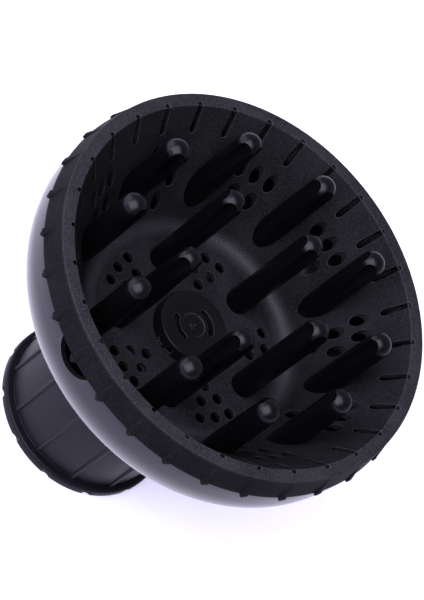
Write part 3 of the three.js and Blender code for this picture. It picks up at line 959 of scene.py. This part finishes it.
def cam_ring():
    """A flanged ring that turns with the collar, with a groove for each jaw's drive pin."""
    bore, flange, outer = 25.8, 34.0, 32.1
    piece = piece_from("cam_plate", [turned(rounded([
        (bore, 0, 0.7),
        (flange, 0, 0.3),
        (flange, CAM_FLANGE_Z, 0.2),
        (outer, CAM_FLANGE_Z, 0),
        (outer, CAM_TOP_Z, 0.2),
        (bore, CAM_TOP_Z, 0.3),
    ]), 180)])
    keyway = upright(arc_outline(35.1, 2, -1.6, 1.6, 4), 0.3, 4)
    combine(piece, repeat([keyway], KEYS))
    combine(piece, repeat([cam_groove()], JAWS))
    return finished(piece, "collar", "clamp", CLAMP, "cam_ring")


# ---- Clamp jaws, pads and pins ----

def clamp_jaw(number):
    """A curved arm on its pivot, with a drive pin that runs in the cam ring's groove."""
    degrees = JAW_STEP * (number - 1)
    inner, outer = 27.6, 30.6
    bar = arc_outline((inner + outer) / 2, (outer - inner) / 2, 4, 48.3)
    arm = upright(bar, JAW_LOW_Z, JAW_TOP_Z, 0.35)
    heel = post(polar(PIVOT_RING, 0), 1.9, JAW_LOW_Z, JAW_TOP_Z, 0.3, 16)
    drive = post(polar(DRIVE_RING, DRIVE_BEARING), 1.0, 2.8, JAW_LOW_Z + 1, 0.15)
    hole = post(polar(PIVOT_RING, 0), 1.25, JAW_LOW_Z - 1, JAW_TOP_Z + 1)
    piece = piece_from(f"jaw_arm_{number}", repeat([arm], 1, degrees))
    combine(piece, repeat([heel], 1, degrees), "UNION")
    combine(piece, repeat([drive], 1, degrees), "UNION")
    combine(piece, repeat([hole], 1, degrees))
    return finished(piece, f"jaw_{number}", "clamp", CLAMP, f"clamp_jaw_{number}")


def jaw_pad(number):
    """A rubber strip with upright gripping ribs on its inner face."""
    start, end, outer, inner = 30.5, 47.5, 27.3, 26.3
    ribs, rib_height = 8, 0.36
    back_steps, face_steps = 12, ribs * 6

    def outline(grow):
        points = []
        for i in range(back_steps + 1):
            points.append(polar(outer + grow, start + (end - start) * i / back_steps)[:2])
        for i in range(face_steps + 1):
            wave = rib_height / 2 * (1 - math.cos(math.tau * ribs * i / face_steps))
            points.append(polar(inner + wave - grow, end + (start - end) * i / face_steps)[:2])
        return points

    skin = upright(outline, JAW_LOW_Z + 0.5, JAW_TOP_Z - 0.5, 0.15)
    piece = piece_from(f"grip_pad_{number}", repeat([skin], 1, JAW_STEP * (number - 1)))
    return finished(piece, f"jaw_{number}", "rubber", RUBBER, f"jaw_pad_{number}")


def pivot_pin(number):
    """The steel pin that a jaw swings on."""
    low, high = (v.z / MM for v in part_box(f"jaw_pin_{number}"))
    skin = post(polar(PIVOT_RING, JAW_STEP * (number - 1)), 1.0, low, high, 0.2)
    piece = piece_from(f"pivot_pin_{number}", [skin])
    return finished(piece, "housing", "steel", STEEL, f"jaw_pin_{number}")


# ---- Studio ----

AIM = Vector((0, 0, RIM_Z * MM))
ROOM_TINT = (0.84, 0.82, 1.0, 1)
ROOM_BRIGHT = 0.42  # behind and beside the object
ROOM_DARK = 0.1  # towards the camera
FLOOR_GLOW = (0.74, 0.72, 1, 1)


def camera():
    """Looks into the bowl from far off, rolled so that it faces up to the right. Returns the axes."""
    data = bpy.data.cameras.new("camera")
    data.sensor_fit = "HORIZONTAL"
    data.sensor_width = 36
    data.lens = 348.8
    data.clip_end = 50
    eye = bpy.data.objects.new("camera", data)
    bpy.context.scene.collection.objects.link(eye)
    tilt, roll, spin = -42.02, -52.48, 155.78  # degrees
    aim_seen = (0.1646, 0.0727, -19.2833)  # right, up and back from the camera, in rim radii
    axes = (
        Matrix.Rotation(math.radians(roll), 3, "Z")
        @ Matrix.Rotation(math.radians(tilt), 3, "X")
        @ Matrix.Rotation(math.radians(spin), 3, "Z")
    ).transposed()
    offset = Vector(aim_seen) * RIM_RADIUS * MM
    eye.matrix_world = Matrix.Translation(AIM - axes @ offset) @ axes.to_4x4()
    bpy.context.scene.camera = eye
    return axes


def softbox(name, axes, right, up, near, size, power):
    """A soft light placed as the camera sees the object: right, up and near are in metres."""
    data = bpy.data.lights.new(name, "AREA")
    data.shape = "RECTANGLE"
    data.size, data.size_y = size
    data.energy = power
    lamp = bpy.data.objects.new(name, data)
    bpy.context.scene.collection.objects.link(lamp)
    target = Vector((0, 0, 0.09))
    lamp.location = target + axes @ Vector((right, up, near))
    lamp.rotation_euler = (target - lamp.location).to_track_quat("-Z", "Y").to_euler()


def studio(axes):
    """A room that is bright behind and beside the object, a large soft lamp and two small ones."""
    world = bpy.data.worlds.new("studio")
    bpy.context.scene.world = world
    world.use_nodes = True
    tree = world.node_tree
    background = tree.nodes["Background"]
    background.inputs["Color"].default_value = ROOM_TINT
    place = tree.nodes.new("ShaderNodeTexCoord")
    facing = tree.nodes.new("ShaderNodeVectorMath")
    facing.operation = "DOT_PRODUCT"
    facing.inputs[1].default_value = axes @ Vector((-0.1, 0, 1))
    level = tree.nodes.new("ShaderNodeMapRange")
    level.interpolation_type = "SMOOTHSTEP"
    limits = (("From Min", 0.0), ("From Max", 0.8), ("To Min", ROOM_BRIGHT), ("To Max", ROOM_DARK))
    for key, number in limits:
        level.inputs[key].default_value = number
    tree.links.new(place.outputs["Generated"], facing.inputs[0])
    tree.links.new(facing.outputs["Value"], level.inputs["Value"])
    tree.links.new(level.outputs["Result"], background.inputs["Strength"])
    softbox("key", axes, -0.1, 0.3, 1.3, (1.7, 1.7), 56)
    softbox("top", axes, -0.7, 1.2, 0.4, (1, 0.8), 7)
    softbox("left", axes, -1.2, 0.6, 0.7, (0.3, 0.9), 4)
    bpy.context.scene.view_settings.view_transform = "Standard"


def floor():
    """A pale matt slab, faintly lit of itself so that it reads as white."""
    half, thick = 8000, 20
    square = [(-half, -half), (half, -half), (half, half), (-half, half)]
    piece = piece_from("floor", [straight(square, -thick, 0)])
    nodes = Nodes("pale_floor")
    cloud = nodes.noise(3, detail=2)
    nodes.colour(nodes.blend(cloud, (0.74, 0.72, 0.87), (0.78, 0.76, 0.9)))
    nodes.plain(Roughness=0.9, Specular_IOR_Level=0.1)
    nodes.plain(Emission_Color=FLOOR_GLOW, Emission_Strength=0.47)
    piece.data.materials.append(nodes.material)


view_axes = camera()
studio(view_axes)
floor()

front_grille()
prongs()
centre_cap()
outer_shell()
neck_tube()
shell_screws()
friction_washer()
twist_collar()
cam_ring()
for jaw in range(1, JAWS + 1):
    clamp_jaw(jaw)
    jaw_pad(jaw)
    pivot_pin(jaw)
